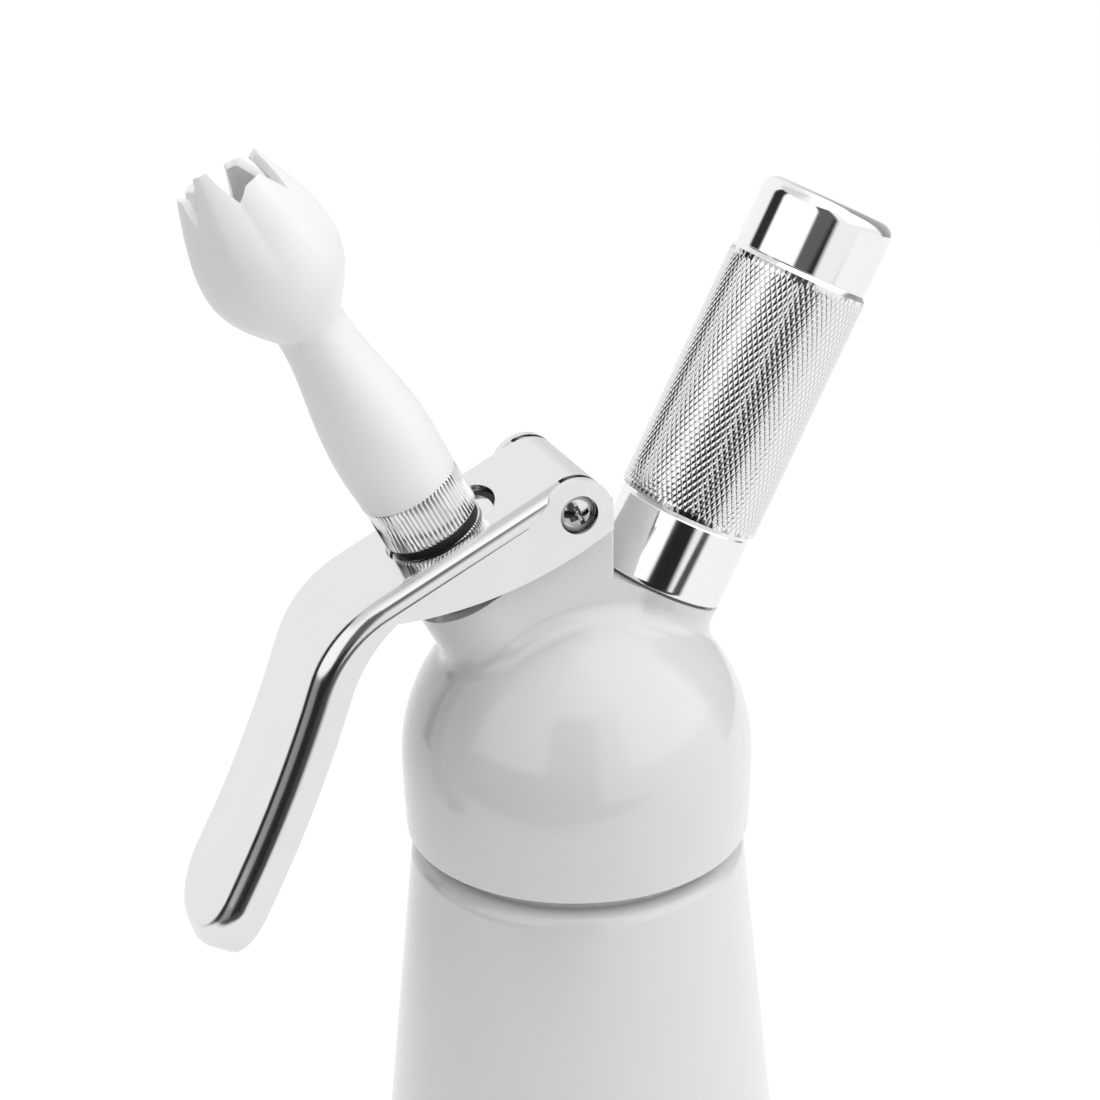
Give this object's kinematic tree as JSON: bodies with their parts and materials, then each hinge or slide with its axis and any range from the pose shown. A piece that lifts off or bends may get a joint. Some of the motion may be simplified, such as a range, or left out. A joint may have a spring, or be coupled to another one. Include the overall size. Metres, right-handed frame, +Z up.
{
  "type": "whipped cream dispenser",
  "caption": "Tapered enamelled bottle with a domed head, a squeeze lever over an angled cream valve with a tulip tip, and a knurled gas charger holder.",
  "frame": {"origin": "centre of the bottle's foot, on the surface it stands on", "axes": "+Z up along the bottle's axis, +X towards the charger holder, -X towards the lever's handle and the decorator tip"},
  "size_m": [0.135, 0.08, 0.3006],
  "materials": {
    "white_enamel": "gloss white enamel on aluminium",
    "white_enamel_head": "gloss white enamel on cast aluminium",
    "silicone": "matte food silicone",
    "machined_steel": "turned stainless steel",
    "charger_steel": "plated drawn steel",
    "bright_aluminium": "bright anodised, knurled",
    "lever_steel": "satin polished stainless steel",
    "chromed_steel": "polished",
    "black_rubber": "matte black",
    "spring_steel": "drawn stainless wire",
    "chromed_brass": "polished chrome on brass",
    "white_plastic": "matte, slightly translucent"
  },
  "bodies": {
    "bottle": {"bottle": "white_enamel"},
    "head_ring": {"head_gasket": "silicone"},
    "head": {"head": "white_enamel_head", "pivot_screws": "chromed_steel", "inlet_gasket": "silicone", "inlet_valve": "machined_steel", "piercing_pin": "machined_steel", "charger_seal": "silicone", "check_sleeve": "silicone", "stem_spring": "spring_steel"},
    "lever": {"lever": "lever_steel"},
    "valve": {"valve_stem": "machined_steel", "poppet_seal": "black_rubber", "stem_seal": "black_rubber", "stem_nut": "chromed_brass"},
    "tip_ring": {"tip_seal": "black_rubber"},
    "tip": {"tip_collar": "chromed_brass", "decorator_tip": "white_plastic"},
    "charger": {"charger": "charger_steel", "charger_closure": "charger_steel"},
    "holder": {"charger_holder": "bright_aluminium"}
  },
  "joints": [
    {"name": "head_lift", "type": "slide", "parent": "bottle", "child": "head_ring", "axis": [0, 0, 1], "range_m": [0, 0.012]},
    {"name": "head_turn", "type": "hinge", "parent": "head_ring", "child": "head", "pos_m": [0, 0, 0.176], "axis": [0, 0, 1], "range_deg": [0, 1080]},
    {"name": "lever_press", "type": "hinge", "parent": "head", "child": "lever", "pos_m": [-0.0045, 0, 0.234], "axis": [0, -1, 0], "range_deg": [0, 6], "stiffness_Nm_per_rad": 3, "springref_deg": -3.44},
    {"name": "valve_stroke", "type": "slide", "parent": "head", "child": "valve", "axis": [0.4617, 0, -0.887], "range_m": [0, 0.00335], "deforming": ["stem_spring"]},
    {"name": "tip_lift", "type": "slide", "parent": "valve", "child": "tip_ring", "axis": [-0.4617, 0, 0.887], "range_m": [0, 0.006]},
    {"name": "tip_turn", "type": "hinge", "parent": "tip_ring", "child": "tip", "pos_m": [-0.02678, 0, 0.23135], "axis": [-0.4617, 0, 0.887], "range_deg": [0, 1440]},
    {"name": "charger_lift", "type": "slide", "parent": "head", "child": "charger", "axis": [0.4571, 0, 0.8894], "range_m": [0, 0.0105]},
    {"name": "holder_turn", "type": "hinge", "parent": "charger", "child": "holder", "pos_m": [0.032, 0, 0.24466], "axis": [0.4571, 0, 0.8894], "range_deg": [0, 2520]}
  ],
  "couplings": [
    {"joint": "head_turn", "follows": "head_lift", "rad_per_m": 1570.8},
    {"joint": "lever_press", "follows": "valve_stroke", "rad_per_m": 31.192},
    {"joint": "tip_turn", "follows": "tip_lift", "rad_per_m": 4188.8},
    {"joint": "holder_turn", "follows": "charger_lift", "rad_per_m": 4188.8}
  ]
}
